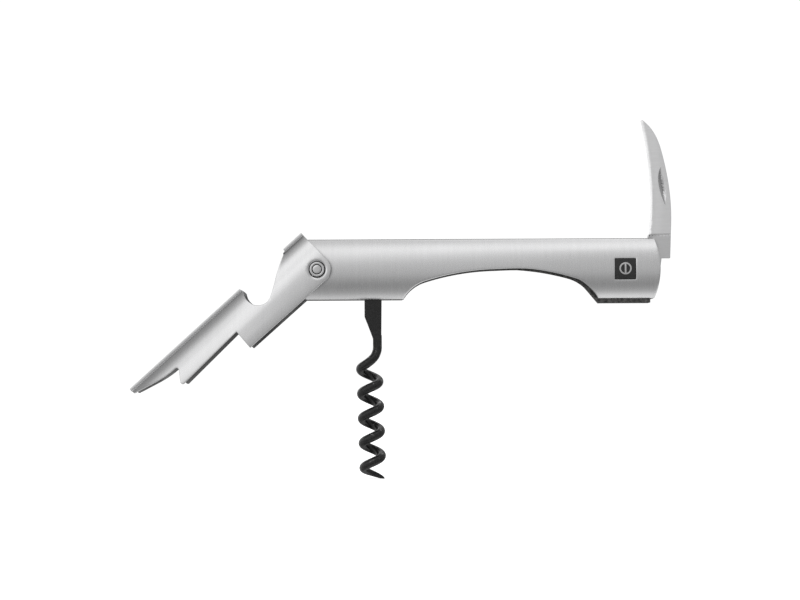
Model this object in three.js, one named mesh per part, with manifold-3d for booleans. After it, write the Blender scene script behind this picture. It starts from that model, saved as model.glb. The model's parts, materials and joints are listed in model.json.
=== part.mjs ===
// Waiter's knife: a lever corkscrew with a foil blade, a bottle-cap notch and a folding worm.
// Millimetres. +X runs along the handle towards the blade, +Y is away from the front side, +Z is up.
// Every size below is measured from the lever pivot; the finished group is then set down with its
// lowest point at z = 0 and the middle of its box over the origin.
import * as THREE from "three";
import { mergeVertices } from "three/addons/utils/BufferGeometryUtils.js";
import Module from "manifold-3d";

const wasm = await Module();
wasm.setup();

// ---- driving dimensions -------------------------------------------------------------------------
const handle = {
  left: -4.4,
  top: 10.15,
  bottom: -9.75,
  endArc: { x: 84.1, z: 0.3, r: 31 },
  arch: { x: 61.6, apex: -0.1, r: 84, sweep: 17.6, flareR: 13, flareSweep: 58.5 },
};
const shell = { halfDepth: 5.9, sectionHeight: 10.98, wall: 1.0, seam: 2.25 };
const liner = {
  inner: 1.7,
  outer: 2.2,
  top: 10.3,
  bottom: -10.15,
  inset: 0.3,
  archDrop: 0.08,
  archSweep: 16.6,
};
const foot = { left: 94.2, right: 112.0, bottom: -11.5, blockLeft: 95.3 };
const core = { half: 1.6, top: 10.25 };
const lever = {
  droop: 42.2,
  back: -4.3,
  outer: 12.6,
  webInner: 11.5,
  rimHalf: 7.8,
  crownHalf: 7.45,
  crownAt: 0,
  crownBend: 48,
  wall: 0.9,
  earRadius: 4.7,
  neck: 34.1,
  neckLow: -4.4,
  tip: 72.9,
};
const pivot = { sleeveR: 2.5, boreR: 1.65, coreR: 1.5, holeR: 2.62, dimpleR: 3.1, dimpleDepth: 0.3 };
const leverHinge = { x: 0, z: 0 };
const wormHinge = { x: 18.6, z: -6.1 };
const bladeHinge = { x: 111.6, z: 3.8 };
const worm = {
  half: 1.5,
  shankLeft: 15.7,
  shankRight: 21.3,
  wireR: 1.4,
  coilR: 3.05,
  pitch: 8.3,
  axisTop: { x: 17.1, z: -26.5 },
  axisSlope: 0.03,
  firstRight: -37.6,
  turnsAbove: 0.78,
  turnsBelow: 3.95,
  pointTurns: 0.62,
};
const blade = { half: 0.8, nickDepth: 0.4 };
const hingePinR = 1.5;
const rivetR = 0.8;
const headThickness = 0.45;
const runningGap = 0.12;
const badge = { x: 103.3, z: -0.25, side: 6.85, sink: 0.35 };
const washerR = { blade: 3.2, lever: 3.9 };

// ---- materials ----------------------------------------------------------------------------------
function metal(color, roughness) {
  return new THREE.MeshStandardMaterial({ color, roughness, metalness: 1 });
}
const satinSteel = metal(0xb9babb, 0.34);
const bladeSteel = metal(0xb4b5b6, 0.3);
const darkSteel = metal(0x4b4a49, 0.5);
const springSteel = metal(0x6b6b6c, 0.4);
const brassTone = metal(0xa98b52, 0.4);
const blackCoating = new THREE.MeshStandardMaterial({ color: 0x1b1a1a, roughness: 0.45, metalness: 0.2 });
const blackEnamel = new THREE.MeshStandardMaterial({ color: 0x151515, roughness: 0.4, metalness: 0 });

// ---- solids -------------------------------------------------------------------------------------
function solid(geometry) {
  const loose = geometry.index ? geometry.toNonIndexed() : geometry;
  const plain = new THREE.BufferGeometry();
  plain.setAttribute("position", loose.getAttribute("position"));
  const merged = mergeVertices(plain, 1e-4);
  const vertProperties = merged.attributes.position.array;
  const triVerts = new Uint32Array(merged.index.array);
  return new wasm.Manifold(new wasm.Mesh({ numProp: 3, vertProperties, triVerts }));
}

function node(name, body, material) {
  const { vertProperties, triVerts } = body.getMesh();
  const geometry = new THREE.BufferGeometry();
  geometry.setAttribute("position", new THREE.BufferAttribute(vertProperties, 3));
  geometry.setIndex(new THREE.BufferAttribute(triVerts, 1));
  const mesh = new THREE.Mesh(geometry.toNonIndexed(), material);
  mesh.geometry.computeVertexNormals();
  mesh.name = name;
  return mesh;
}

// A flat outline drawn in X and Z, given thickness from yLow to yHigh.
function plate(shape, yLow, yHigh, curveSegments = 16) {
  const depth = yHigh - yLow;
  const geometry = new THREE.ExtrudeGeometry(shape, { depth, bevelEnabled: false, curveSegments });
  return solid(geometry.rotateX(Math.PI / 2).translate(0, yHigh, 0));
}

// A section drawn in Y and Z, run along X from xLow to xHigh.
function bar(shape, xLow, xHigh, curveSegments = 16) {
  const depth = xHigh - xLow;
  const geometry = new THREE.ExtrudeGeometry(shape, { depth, bevelEnabled: false, curveSegments });
  const alongX = new THREE.Matrix4().makeBasis(
    new THREE.Vector3(0, 1, 0),
    new THREE.Vector3(0, 0, 1),
    new THREE.Vector3(1, 0, 0),
  );
  return solid(geometry.applyMatrix4(alongX).translate(xLow, 0, 0));
}

function block(xLow, xHigh, yLow, yHigh, zLow, zHigh) {
  const geometry = new THREE.BoxGeometry(xHigh - xLow, yHigh - yLow, zHigh - zLow);
  geometry.translate((xLow + xHigh) / 2, (yLow + yHigh) / 2, (zLow + zHigh) / 2);
  return solid(geometry);
}

// A round pin across the handle, its axis along Y.
function crossPin(at, radius, yLow, yHigh, topRadius = radius, sides = 32) {
  const geometry = new THREE.CylinderGeometry(topRadius, radius, yHigh - yLow, sides);
  return solid(geometry.translate(at.x, (yLow + yHigh) / 2, at.z));
}

function outline(points) {
  return new THREE.Shape(points.map(([across, up]) => new THREE.Vector2(across, up)));
}

const radians = THREE.MathUtils.degToRad;

// ---- handle -------------------------------------------------------------------------------------
// Side view of the handle: square left end with eased corners, right end on a shallow arc.
function handleOutline(inset, top, bottom) {
  const { left, endArc } = handle;
  const corner = 1.6;
  const xLeft = left + inset;
  const r = endArc.r - inset;
  const topAngle = Math.asin((top - endArc.z) / r);
  const lowAngle = Math.asin((bottom - endArc.z) / r);
  const shape = new THREE.Shape();
  shape.moveTo(xLeft + corner, bottom);
  shape.lineTo(endArc.x + r * Math.cos(lowAngle), bottom);
  shape.absarc(endArc.x, endArc.z, r, lowAngle, topAngle, false);
  shape.lineTo(xLeft + corner, top);
  shape.absarc(xLeft + corner, top - corner, corner, Math.PI / 2, Math.PI, false);
  shape.absarc(xLeft + corner, bottom + corner, corner, Math.PI, 1.5 * Math.PI, false);
  return shape;
}

// The finger arch under the handle: one long arc between two tighter ones. The long arc may end
// sooner on its right.
function archCut(lift, rightSweep = handle.arch.sweep) {
  const { x, apex, r, sweep, flareR, flareSweep } = handle.arch;
  const steep = radians(flareSweep);
  const centreZ = apex + lift - r;
  const depth = 2 * handle.bottom;
  const flare = (wide) => {
    const out = (r - flareR) * Math.sin(wide);
    const z = centreZ + (r - flareR) * Math.cos(wide);
    const kneeZ = z + flareR * Math.cos(steep);
    const spread = out + flareR * Math.sin(steep) + (kneeZ - depth) / Math.tan(steep);
    return { wide, out, z, spread };
  };
  const up = Math.PI / 2;
  const left = flare(radians(sweep));
  const right = flare(radians(rightSweep));
  const shape = new THREE.Shape();
  shape.moveTo(x + right.spread, depth);
  shape.lineTo(x - left.spread, depth);
  shape.absarc(x - left.out, left.z, flareR, up + steep, up + left.wide, true);
  shape.absarc(x, centreZ, r, up + left.wide, up - right.wide, true);
  shape.absarc(x + right.out, right.z, flareR, up - right.wide, up - steep, true);
  return shape;
}

function ellipse(halfY, halfZ) {
  const shape = new THREE.Shape();
  shape.absellipse(0, 0, halfY, halfZ, 0, 2 * Math.PI, false, 0);
  return shape;
}

const farOut = 40;
const handleRight = handle.endArc.x + handle.endArc.r;

// Solid of the handle's oval section, shrunk by a margin all round.
function ovalBar(margin) {
  const halfY = shell.halfDepth - margin;
  const halfZ = shell.sectionHeight - margin;
  return bar(ellipse(halfY, halfZ), -farOut, handleRight + farOut, 20);
}

// One pressed side shell; side is -1 for the front and 1 for the rear.
function sideShell(side) {
  const yEdges = [side * shell.seam, side * farOut].sort((a, b) => a - b);
  const hollow = ovalBar(0).subtract(ovalBar(shell.wall));
  const cut = plate(archCut(0), -farOut, farOut, 14);
  const hole = crossPin(leverHinge, pivot.holeR, -farOut, farOut);
  const outlined = hollow.intersect(plate(handleOutline(0, handle.top, handle.bottom), ...yEdges));
  return outlined.subtract(cut).subtract(hole);
}

function badgeBlock(side) {
  const half = side / 2;
  return block(badge.x - half, badge.x + half, -farOut, 0, badge.z - half, badge.z + half);
}

function badgePlate() {
  const skin = ovalBar(0).subtract(ovalBar(badge.sink));
  return skin.intersect(badgeBlock(badge.side));
}

function badgePocket() {
  const skin = ovalBar(-1).subtract(ovalBar(badge.sink + 0.06));
  return skin.intersect(badgeBlock(badge.side + 0.12));
}

const rivets = {
  spine_rivet_left: { x: 24, z: 5.9 },
  spine_rivet_right: { x: 56, z: 5.4 },
  foot_rivet_left: { x: 97.5, z: -6.6 },
  foot_rivet_right: { x: 108.0, z: -6.6 },
};

function drilled(body, places, radius) {
  const bore = (at) => crossPin(at, radius, -farOut, farOut, radius, 24);
  return places.reduce((rest, at) => rest.subtract(bore(at)), body);
}

// One flat liner. It stands a little proud of the shell above, below and at the arch's right, and its
// foot hangs well below.
function sideLiner(side) {
  const ys = [side * liner.inner, side * liner.outer].sort((a, b) => a - b);
  const flange = outline([
    [foot.left, foot.bottom],
    [foot.right, foot.bottom],
    [foot.right, -8],
    [foot.left, -8],
  ]);
  const arch = plate(archCut(-liner.archDrop, liner.archSweep), -farOut, farOut, 14);
  const sheet = plate(handleOutline(liner.inset, liner.top, liner.bottom), ...ys).subtract(arch);
  const bored = drilled(sheet.add(plate(flange, ...ys)), Object.values(rivets), rivetR + runningGap);
  const hinged = drilled(bored, [wormHinge, bladeHinge], hingePinR + runningGap);
  return drilled(hinged, [leverHinge], pivot.holeR);
}

// The bar that closes the handle's back, with a block round the lever pivot.
function spineSpacer() {
  const { top, half } = core;
  const shape = outline([
    [-3.9, -9.6],
    [8.6, -9.6],
    [8.6, 2.6],
    [13, 3.8],
    [33, 3.8],
    [42, 7.8],
    [62.6, 7.8],
    [62.6, top],
    [-2.8, top],
    [-3.9, 9.2],
  ]);
  const body = drilled(plate(shape, -half, half), [leverHinge], pivot.holeR);
  return drilled(body, [rivets.spine_rivet_left], rivetR + runningGap);
}

// Leaf spring whose nose presses on the worm's tang.
function wormSpring() {
  const shape = new THREE.Shape();
  shape.moveTo(13.2, -1.3);
  shape.quadraticCurveTo(30, -1.2, 48, 3.2);
  shape.lineTo(61, 3.2);
  shape.lineTo(61, 7.4);
  shape.lineTo(50, 7.4);
  shape.quadraticCurveTo(32, 0.6, 13.2, 0.4);
  const leaf = plate(shape, -core.half, core.half, 10);
  return drilled(leaf, [rivets.spine_rivet_right], rivetR + runningGap);
}

// Leaf spring under the blade's tang, held between the foot block and the liners.
function bladeSpring() {
  const shape = new THREE.Shape();
  shape.moveTo(94.8, -5.2);
  shape.lineTo(104, -5.2);
  shape.quadraticCurveTo(108, -5.1, 110.5, -4.5);
  shape.lineTo(110.5, -3.7);
  shape.quadraticCurveTo(106, -4.1, 102, -3.2);
  shape.lineTo(94.8, -3.0);
  return plate(shape, -core.half, core.half, 8);
}

function footBlock() {
  const shape = outline([
    [foot.blockLeft, foot.bottom],
    [foot.right, foot.bottom],
    [foot.right, -5.4],
    [foot.blockLeft, -5.4],
  ]);
  const body = plate(shape, -core.half, core.half);
  return drilled(body, [rivets.foot_rivet_left, rivets.foot_rivet_right], rivetR + runningGap);
}

// A shouldered rivet: a thin shank through the liners and a flat head beyond each of them.
function headedPin(at, radius, headRadius) {
  const inHead = liner.outer + 0.06;
  const outHead = inHead + headThickness;
  const shank = crossPin(at, radius, -outHead, outHead, radius, 24);
  const front = crossPin(at, headRadius, -outHead, -inHead, headRadius, 24);
  return shank.add(front).add(crossPin(at, headRadius, inHead, outHead, headRadius, 24));
}

function washer(at, inside, outside, yLow, yHigh) {
  const disc = crossPin(at, outside, yLow, yHigh, outside, 28);
  return disc.subtract(crossPin(at, inside, yLow - 1, yHigh + 1, inside, 28));
}

// ---- lever pivot --------------------------------------------------------------------------------
const pivotEnd = lever.crownHalf - 0.12;

function pivotSleeve() {
  const { sleeveR, boreR } = pivot;
  const ease = 0.25;
  const profile = [
    [boreR, -pivotEnd],
    [sleeveR - ease, -pivotEnd],
    [sleeveR, ease - pivotEnd],
    [sleeveR, pivotEnd - ease],
    [sleeveR - ease, pivotEnd],
    [boreR, pivotEnd],
    [boreR, -pivotEnd],
  ];
  return solid(new THREE.LatheGeometry(profile.map(([r, y]) => new THREE.Vector2(r, y)), 32));
}

function pivotCore() {
  const { coreR } = pivot;
  const face = pivotEnd - 0.1;
  const ease = 0.3;
  const profile = [
    [0, -face],
    [coreR - ease, -face],
    [coreR, ease - face],
    [coreR, face - ease],
    [coreR - ease, face],
    [0, face],
  ];
  return solid(new THREE.LatheGeometry(profile.map(([r, y]) => new THREE.Vector2(r, y)), 32));
}

// ---- lever --------------------------------------------------------------------------------------
// Half-depth of the lever's outer face at a distance across it: a shallow crown.
function crown(across) {
  return lever.crownHalf - (across - lever.crownAt) ** 2 / lever.crownBend;
}

// Channel section of the lever, open towards the handle: two crowned walls and a flat web whose
// edges stand out as a rim, with a hollow fillet under the rim.
function leverSection() {
  const { outer, webInner, rimHalf, wall } = lever;
  const low = -lever.earRadius - 1;
  const faceEnd = 8.4;
  const acrossSteps = [0, 0.14, 0.28, 0.42, 0.56, 0.7, 0.85, 1].map((t) => low + t * (faceEnd - low));
  const face = acrossSteps.map((v) => [crown(v), v]);
  const fillet = [
    [6.1, 9.3],
    [6.25, 10.2],
    [6.9, 11.1],
    [rimHalf, webInner],
  ];
  const inside = acrossSteps.map((v) => [crown(v) - wall, v]).reverse();
  const corner = [
    [3.6, webInner],
    [4.5, 10.4],
  ];
  const right = [...face, ...fillet, [rimHalf, outer]];
  const rightInside = [...corner, ...inside];
  const mirror = ([y, v]) => [-y, v];
  const left = right.map(mirror).reverse();
  const leftInside = rightInside.map(mirror).reverse();
  return outline([...right, ...left, ...leftInside, ...rightInside]);
}

// Side view of the lever, drawn along it (u) and across it (v) from the pivot.
function leverOutline() {
  const { back, outer, earRadius, neck, neckLow, tip } = lever;
  const shape = new THREE.Shape();
  const earStart = radians(172);
  shape.moveTo(back, outer);
  shape.lineTo(earRadius * Math.cos(earStart), earRadius * Math.sin(earStart));
  shape.absarc(0, 0, earRadius, earStart, radians(271), false);
  shape.lineTo(neck, neckLow);
  shape.lineTo(neck - 0.2, 2.7);
  // first step ends in the lip rest's tooth
  shape.lineTo(57.9, 1.7);
  shape.quadraticCurveTo(59.2, 1.4, 59.0, 2.9);
  shape.quadraticCurveTo(57.9, 4.5, 56.7, 6.2);
  shape.quadraticCurveTo(56.3, 7.6, 57.6, 7.5);
  shape.bezierCurveTo(63, 7.5, 67, 9.1, tip + 0.1, 10.5);
  shape.lineTo(tip, outer);
  // bottle-cap notch
  shape.lineTo(23.5, outer);
  shape.lineTo(23.3, 10.9);
  shape.absarc(19.5, 8.0, 4.75, radians(32), radians(-100), true);
  shape.quadraticCurveTo(16.2, 4.5, 12.2, 7.4);
  shape.quadraticCurveTo(8.5, 9.9, 4.0, 11.9);
  shape.lineTo(3.8, outer);
  return shape;
}

// The lever is drawn level, pointing along +X with its outer edge up.
function leverArm() {
  const channel = bar(leverSection(), lever.back - 1, lever.tip + 1);
  const blank = channel.intersect(plate(leverOutline(), -farOut, farOut, 12));
  const bored = drilled(blank, [leverHinge], pivot.holeR);
  const deep = lever.crownHalf - pivot.dimpleDepth;
  const wide = pivot.dimpleR + 1;
  const front = crossPin(leverHinge, wide, -lever.rimHalf, -deep, pivot.dimpleR - 0.3);
  const rear = crossPin(leverHinge, pivot.dimpleR - 0.3, deep, lever.rimHalf, wide);
  return bored.subtract(front).subtract(rear);
}

// ---- worm ---------------------------------------------------------------------------------------
// Flat shank with a round tang at the hinge, narrowing to the wire on its right-hand edge.
function wormShank() {
  const { shankLeft, shankRight, half } = worm;
  const tangR = 3.7;
  const shape = new THREE.Shape();
  shape.moveTo(shankLeft, -15.8);
  shape.lineTo(18.5, -23.2);
  shape.lineTo(18.6, -26.2);
  shape.lineTo(shankRight, -26.2);
  shape.lineTo(shankRight, -8.8);
  shape.absarc(wormHinge.x, wormHinge.z, tangR, radians(-38), radians(218), false);
  return drilled(plate(shape, -half, half), [wormHinge], hingePinR + runningGap);
}

// Radius of the wire, given how much of its pointed end is still to come (1 or more: full size).
function wireRadius(left) {
  return worm.wireR * (0.1 + 0.9 * Math.sqrt(THREE.MathUtils.clamp(left, 0, 1)));
}

// Centre line of the wire: down from the shank, then a right-handed helix whose axis leans slightly.
// The point keeps towards the outside of the coil.
function wormPath() {
  const stepsPerTurn = 14;
  const first = -Math.round(worm.turnsAbove * stepsPerTurn);
  const last = Math.round(worm.turnsBelow * stepsPerTurn);
  const straight = [
    [20.0, 0, -22],
    [20.0, 0, -26.2],
    [19.1, -1.6, -28.9],
  ];
  const points = straight.map((at) => new THREE.Vector3(...at));
  for (let step = first; step <= last; step++) {
    const turn = step / stepsPerTurn;
    const z = worm.firstRight - worm.pitch * turn;
    const axisX = worm.axisTop.x + worm.axisSlope * (worm.axisTop.z - z);
    const angle = 2 * Math.PI * turn;
    const thinned = worm.wireR - wireRadius((worm.turnsBelow - turn) / worm.pointTurns);
    const reach = worm.coilR + 0.7 * thinned;
    points.push(new THREE.Vector3(axisX + reach * Math.cos(angle), -reach * Math.sin(angle), z));
  }
  return new THREE.CatmullRomCurve3(points);
}

// A closed round tube along a curve, its radius given at each share of its length.
function taperedTube(curve, steps, sides, radiusAt) {
  const frames = curve.computeFrenetFrames(steps, false);
  const positions = [];
  for (let i = 0; i <= steps; i++) {
    const centre = curve.getPointAt(i / steps);
    for (let j = 0; j < sides; j++) {
      const angle = (2 * Math.PI * j) / sides;
      const radius = radiusAt(i / steps);
      const rim = centre.clone();
      rim.addScaledVector(frames.normals[i], radius * Math.cos(angle));
      rim.addScaledVector(frames.binormals[i], radius * Math.sin(angle));
      positions.push(...rim.toArray());
    }
  }
  const start = positions.length / 3;
  positions.push(...curve.getPointAt(0).toArray(), ...curve.getPointAt(1).toArray());
  const faces = [];
  for (let j = 0; j < sides; j++) {
    const next = (j + 1) % sides;
    for (let i = 0; i < steps; i++) {
      const here = i * sides;
      const there = here + sides;
      faces.push(here + j, here + next, there + next, here + j, there + next, there + j);
    }
    faces.push(start, next, j);
    faces.push(start + 1, steps * sides + j, steps * sides + next);
  }
  const geometry = new THREE.BufferGeometry();
  geometry.setAttribute("position", new THREE.Float32BufferAttribute(positions, 3));
  geometry.setIndex(faces);
  return solid(geometry);
}

function wormBody() {
  const path = wormPath();
  const turnLength = Math.hypot(2 * Math.PI * worm.coilR, worm.pitch);
  const pointShare = (worm.pointTurns * turnLength) / path.getLength();
  const radiusAt = (share) => wireRadius((1 - share) / pointShare);
  return wormShank().add(taperedTube(path, 90, 12, radiusAt));
}

// ---- foil blade ---------------------------------------------------------------------------------
function foilBlade() {
  const shape = new THREE.Shape();
  shape.moveTo(119.1, 3.6);
  shape.lineTo(119.4, 11.6);
  shape.bezierCurveTo(119.85, 18.6, 119.95, 26.8, 116.7, 39.5);
  shape.bezierCurveTo(115.6, 43.9, 113.9, 47.9, 110.1, 50.7);
  shape.lineTo(109.6, 50.6);
  // hooked cutting edge
  shape.bezierCurveTo(111.8, 40.5, 113.6, 27, 112.1, 14.5);
  shape.lineTo(111.8, 11.5);
  // tang
  shape.lineTo(111.3, 11.4);
  shape.lineTo(111.1, 9.6);
  shape.lineTo(108.6, 8.0);
  shape.absarc(bladeHinge.x, bladeHinge.z, 5.0, radians(150), radians(290), false);
  shape.lineTo(115.8, 0.8);
  shape.lineTo(116.2, 3.6);
  const leaf = drilled(plate(shape, -blade.half, blade.half, 12), [bladeHinge], hingePinR + runningGap);
  const nick = new THREE.Shape();
  nick.moveTo(116.2, 34.3);
  nick.quadraticCurveTo(114.1, 30.0, 117.6, 21.8);
  nick.quadraticCurveTo(118.6, 27.0, 116.2, 34.3);
  return leaf.subtract(plate(nick, -blade.half - 1, -blade.half + blade.nickDepth, 8));
}

// ---- assembly -----------------------------------------------------------------------------------
const corkscrew = new THREE.Group();
corkscrew.add(node("shell_front", sideShell(-1).subtract(badgePocket()), satinSteel));
corkscrew.add(node("shell_rear", sideShell(1), satinSteel));
corkscrew.add(node("badge_plate", badgePlate(), blackEnamel));
corkscrew.add(node("liner_front", sideLiner(-1), darkSteel));
corkscrew.add(node("liner_rear", sideLiner(1), darkSteel));
corkscrew.add(node("spine_spacer", spineSpacer(), satinSteel));
corkscrew.add(node("worm_spring", wormSpring(), springSteel));
corkscrew.add(node("blade_spring", bladeSpring(), springSteel));
corkscrew.add(node("foot_block", footBlock(), darkSteel));
for (const [name, at] of Object.entries(rivets)) {
  corkscrew.add(node(name, headedPin(at, rivetR, 1.2), springSteel));
}
corkscrew.add(node("worm_pin", headedPin(wormHinge, hingePinR, 2.0), springSteel));
corkscrew.add(node("blade_pin", headedPin(bladeHinge, hingePinR, 2.0), springSteel));

// Thin washers fill the space between the blade's tang and the liners, and keep the lever's ears off
// the shells. Each gap is how far from the middle plane a washer starts and ends.
const washers = {
  blade_washer: {
    at: bladeHinge,
    hole: hingePinR + 0.15,
    radius: washerR.blade,
    gap: [blade.half + 0.08, liner.inner - 0.08],
  },
  lever_washer: {
    at: leverHinge,
    hole: pivot.sleeveR + 0.25,
    radius: washerR.lever,
    gap: [shell.halfDepth + 0.06, shell.halfDepth + 0.26],
  },
};
for (const [name, { at, hole, radius, gap }] of Object.entries(washers)) {
  corkscrew.add(node(`${name}_front`, washer(at, hole, radius, -gap[1], -gap[0]), brassTone));
  corkscrew.add(node(`${name}_rear`, washer(at, hole, radius, ...gap), brassTone));
}

corkscrew.add(node("lever_sleeve", pivotSleeve(), satinSteel));
corkscrew.add(node("lever_core_pin", pivotCore(), satinSteel));

// The arm is turned round to point away from the handle, then drops by its droop.
const leverGroup = new THREE.Group();
leverGroup.rotation.y = -radians(lever.droop);
const arm = node("lever_arm", leverArm(), satinSteel);
arm.rotation.z = Math.PI;
leverGroup.add(arm);
corkscrew.add(leverGroup);

corkscrew.add(node("worm", wormBody(), blackCoating));
corkscrew.add(node("foil_blade", foilBlade(), bladeSteel));

const box = new THREE.Box3().setFromObject(corkscrew, true);
const middle = box.getCenter(new THREE.Vector3());
corkscrew.position.set(-middle.x, -middle.y, -box.min.z);

const part = new THREE.Group();
part.add(corkscrew);
export default part;
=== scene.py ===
"""Looks of the lever corkscrew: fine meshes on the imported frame, brushed steel, soft studio light."""

import json
import math

import bmesh
import bpy
import numpy as np
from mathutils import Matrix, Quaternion, Vector
from mathutils.geometry import delaunay_2d_cdt


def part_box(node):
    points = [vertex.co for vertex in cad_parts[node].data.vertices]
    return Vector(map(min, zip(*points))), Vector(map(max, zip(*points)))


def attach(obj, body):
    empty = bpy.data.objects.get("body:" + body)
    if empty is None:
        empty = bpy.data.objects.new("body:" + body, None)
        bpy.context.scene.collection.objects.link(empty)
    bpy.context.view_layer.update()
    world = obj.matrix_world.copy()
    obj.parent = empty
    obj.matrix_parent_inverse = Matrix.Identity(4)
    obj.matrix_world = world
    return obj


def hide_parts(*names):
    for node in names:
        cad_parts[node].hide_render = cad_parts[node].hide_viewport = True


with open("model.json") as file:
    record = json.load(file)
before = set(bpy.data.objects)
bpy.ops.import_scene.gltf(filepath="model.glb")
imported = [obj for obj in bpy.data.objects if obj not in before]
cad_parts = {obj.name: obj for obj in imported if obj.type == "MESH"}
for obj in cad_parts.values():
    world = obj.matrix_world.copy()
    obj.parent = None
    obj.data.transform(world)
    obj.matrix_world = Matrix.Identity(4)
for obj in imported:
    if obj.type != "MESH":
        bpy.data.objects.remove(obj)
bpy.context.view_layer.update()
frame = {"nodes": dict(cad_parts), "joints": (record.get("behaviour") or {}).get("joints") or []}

# Shapes are drawn in millimetres from the lever hinge, x along the handle, y away from the badge
# side, z up. The hinge places come from the frame.
MM = 0.001
hinge_places = {joint["name"]: Vector(joint["pos_m"]) for joint in frame["joints"]}
PIVOT = hinge_places["lever_hinge"]
WORM_HINGE = (hinge_places["worm_hinge"] - PIVOT) / MM
BLADE_HINGE = (hinge_places["blade_hinge"] - PIVOT) / MM


def low_high(node):
    """A CAD node's box, in millimetres from the lever hinge."""
    low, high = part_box(node)
    return (low - PIVOT) / MM, (high - PIVOT) / MM


# ---- outlines: lists of (x, z), run anticlockwise as seen from the badge side -------------------
SAME = 1e-6  # heights closer than this count as one


def arc(cx, cz, r, start, end, count=24):
    """Points round a circle, from one angle to another in degrees."""
    angles = np.radians(np.linspace(start, end, count))
    return [(cx + r * math.cos(a), cz + r * math.sin(a)) for a in angles]


def bezier(*control, count=24):
    """Points of a Bezier curve with any number of control points."""
    points = []
    for t in np.linspace(0, 1, count):
        level = [np.array(c, float) for c in control]
        while len(level) > 1:
            level = [a + (b - a) * t for a, b in zip(level, level[1:])]
        points.append(tuple(level[0]))
    return points


def tidy(points):
    """The outline without repeated points."""
    kept = [points[0]]
    for p in points[1:]:
        if math.dist(p, kept[-1]) > 1e-4:
            kept.append(p)
    if math.dist(kept[0], kept[-1]) < 1e-4:
        kept.pop()
    return kept


def rounded(points, radius, least_turn=20):
    """Rounds every corner that turns by more than least_turn degrees."""
    points = [np.array(p, float) for p in tidy(points)]
    out = []
    for before, here, after in zip(points[-1:] + points[:-1], points, points[1:] + points[:1]):
        a, b = before - here, after - here
        la, lb = np.linalg.norm(a), np.linalg.norm(b)
        a, b = a / la, b / lb
        turn = math.pi - math.acos(float(np.clip(a @ b, -1, 1)))
        if math.degrees(turn) < least_turn:
            out.append(tuple(here))
            continue
        reach = min(radius * math.tan(turn / 2), 0.45 * la, 0.45 * lb)
        start, end = here + a * reach, here + b * reach
        steps = max(3, int(math.degrees(turn) / 15))
        for t in np.linspace(0, 1, steps + 1):
            out.append(tuple((1 - t) ** 2 * start + 2 * t * (1 - t) * here + t * t * end))
    return out


def resampled(points, step):
    """The outline with its long sides cut to at most step."""
    out = []
    for a, b in zip(points, points[1:] + points[:1]):
        parts = max(1, math.ceil(math.dist(a, b) / step))
        for k in range(parts):
            t = k / parts
            out.append((a[0] + (b[0] - a[0]) * t, a[1] + (b[1] - a[1]) * t))
    return out


def resampled_line_at(points, height, step):
    """The outline with only its sides along one height cut to at most step."""
    out = []
    for a, b in zip(points, points[1:] + points[:1]):
        out.append(a)
        if abs(a[1] - height) < SAME and abs(b[1] - height) < SAME:
            parts = max(1, math.ceil(math.dist(a, b) / step))
            out += [(a[0] + (b[0] - a[0]) * k / parts, height) for k in range(1, parts)]
    return out


def split_at(points, heights):
    """The outline with a point added wherever it crosses one of the heights."""
    out = []
    for a, b in zip(points, points[1:] + points[:1]):
        out.append(a)
        hits = [(h - a[1]) / (b[1] - a[1]) for h in heights if (a[1] - h) * (b[1] - h) < 0]
        for t in sorted(hits):
            out.append((a[0] + (b[0] - a[0]) * t, a[1] + (b[1] - a[1]) * t))
    return out


def inset(loop, distance):
    """The outline moved inwards, which is to the left of its direction."""
    p = np.array(loop)
    ahead = np.roll(p, -1, 0) - p
    ahead /= np.linalg.norm(ahead, axis=1, keepdims=True)
    behind = np.roll(ahead, 1, 0)
    left = np.stack([-(ahead + behind)[:, 1], (ahead + behind)[:, 0]], 1)
    left /= np.maximum(np.linalg.norm(left, axis=1, keepdims=True), 1e-9)
    side = np.stack([-ahead[:, 1], ahead[:, 0]], 1)
    stretch = np.minimum(1 / np.maximum((left * side).sum(1, keepdims=True), 0.3), 2.5)
    return p + left * stretch * distance


def inside(points, loops):
    """Which points lie within the outlines, holes left out."""
    x, z = np.array(points, float).reshape(-1, 2).T
    odd = np.zeros(len(x), bool)
    for loop in loops:
        a = np.array(loop)
        b = np.roll(a, -1, 0)
        for (ax, az), (bx, bz) in zip(a, b):
            if az != bz:
                odd ^= ((az > z) != (bz > z)) & (x < (bx - ax) * (z - az) / (bz - az) + ax)
    return odd


def distance_to(points, lines):
    """Shortest distance from each point to any of the lines, each a list of points."""
    p = np.array(points, float).reshape(-1, 2)
    best = np.full(len(p), 1e9)
    for line in lines:
        a = np.array(line, float)
        for start, end in zip(a[:-1], a[1:]):
            d = end - start
            t = np.clip(((p - start) @ d) / max(d @ d, 1e-12), 0, 1)
            best = np.minimum(best, np.linalg.norm(p - start - t[:, None] * d, axis=1))
    return best


def closed(loop):
    """The outline as a line that ends where it starts."""
    return np.vstack([loop, loop[:1]])


def blend_between(low, high, x):
    """0 up to low, 1 from high on, and a smooth step between them."""
    t = np.clip((x - low) / (high - low), 0, 1)
    return t * t * (3 - 2 * t)


def triangles(loops, extra):
    """Triangles over the area in the outlines: (all points, list of index triples)."""
    points, edges = [], []
    for loop in loops:
        first = len(points)
        points += [tuple(p) for p in loop]
        edges += [(first + i, first + (i + 1) % len(loop)) for i in range(len(loop))]
    points += [tuple(p) for p in extra]
    flat, _, faces, origin, _, _ = delaunay_2d_cdt([Vector(p) for p in points], edges, [], 0, 1e-7)
    source = [o[0] if o else None for o in origin]
    middles = [np.mean([flat[i] for i in f], axis=0) for f in faces]
    keep = inside(middles, loops)
    kept = [[source[i] for i in f] for f, k in zip(faces, keep) if k]
    return points, [f for f in kept if None not in f]


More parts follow.
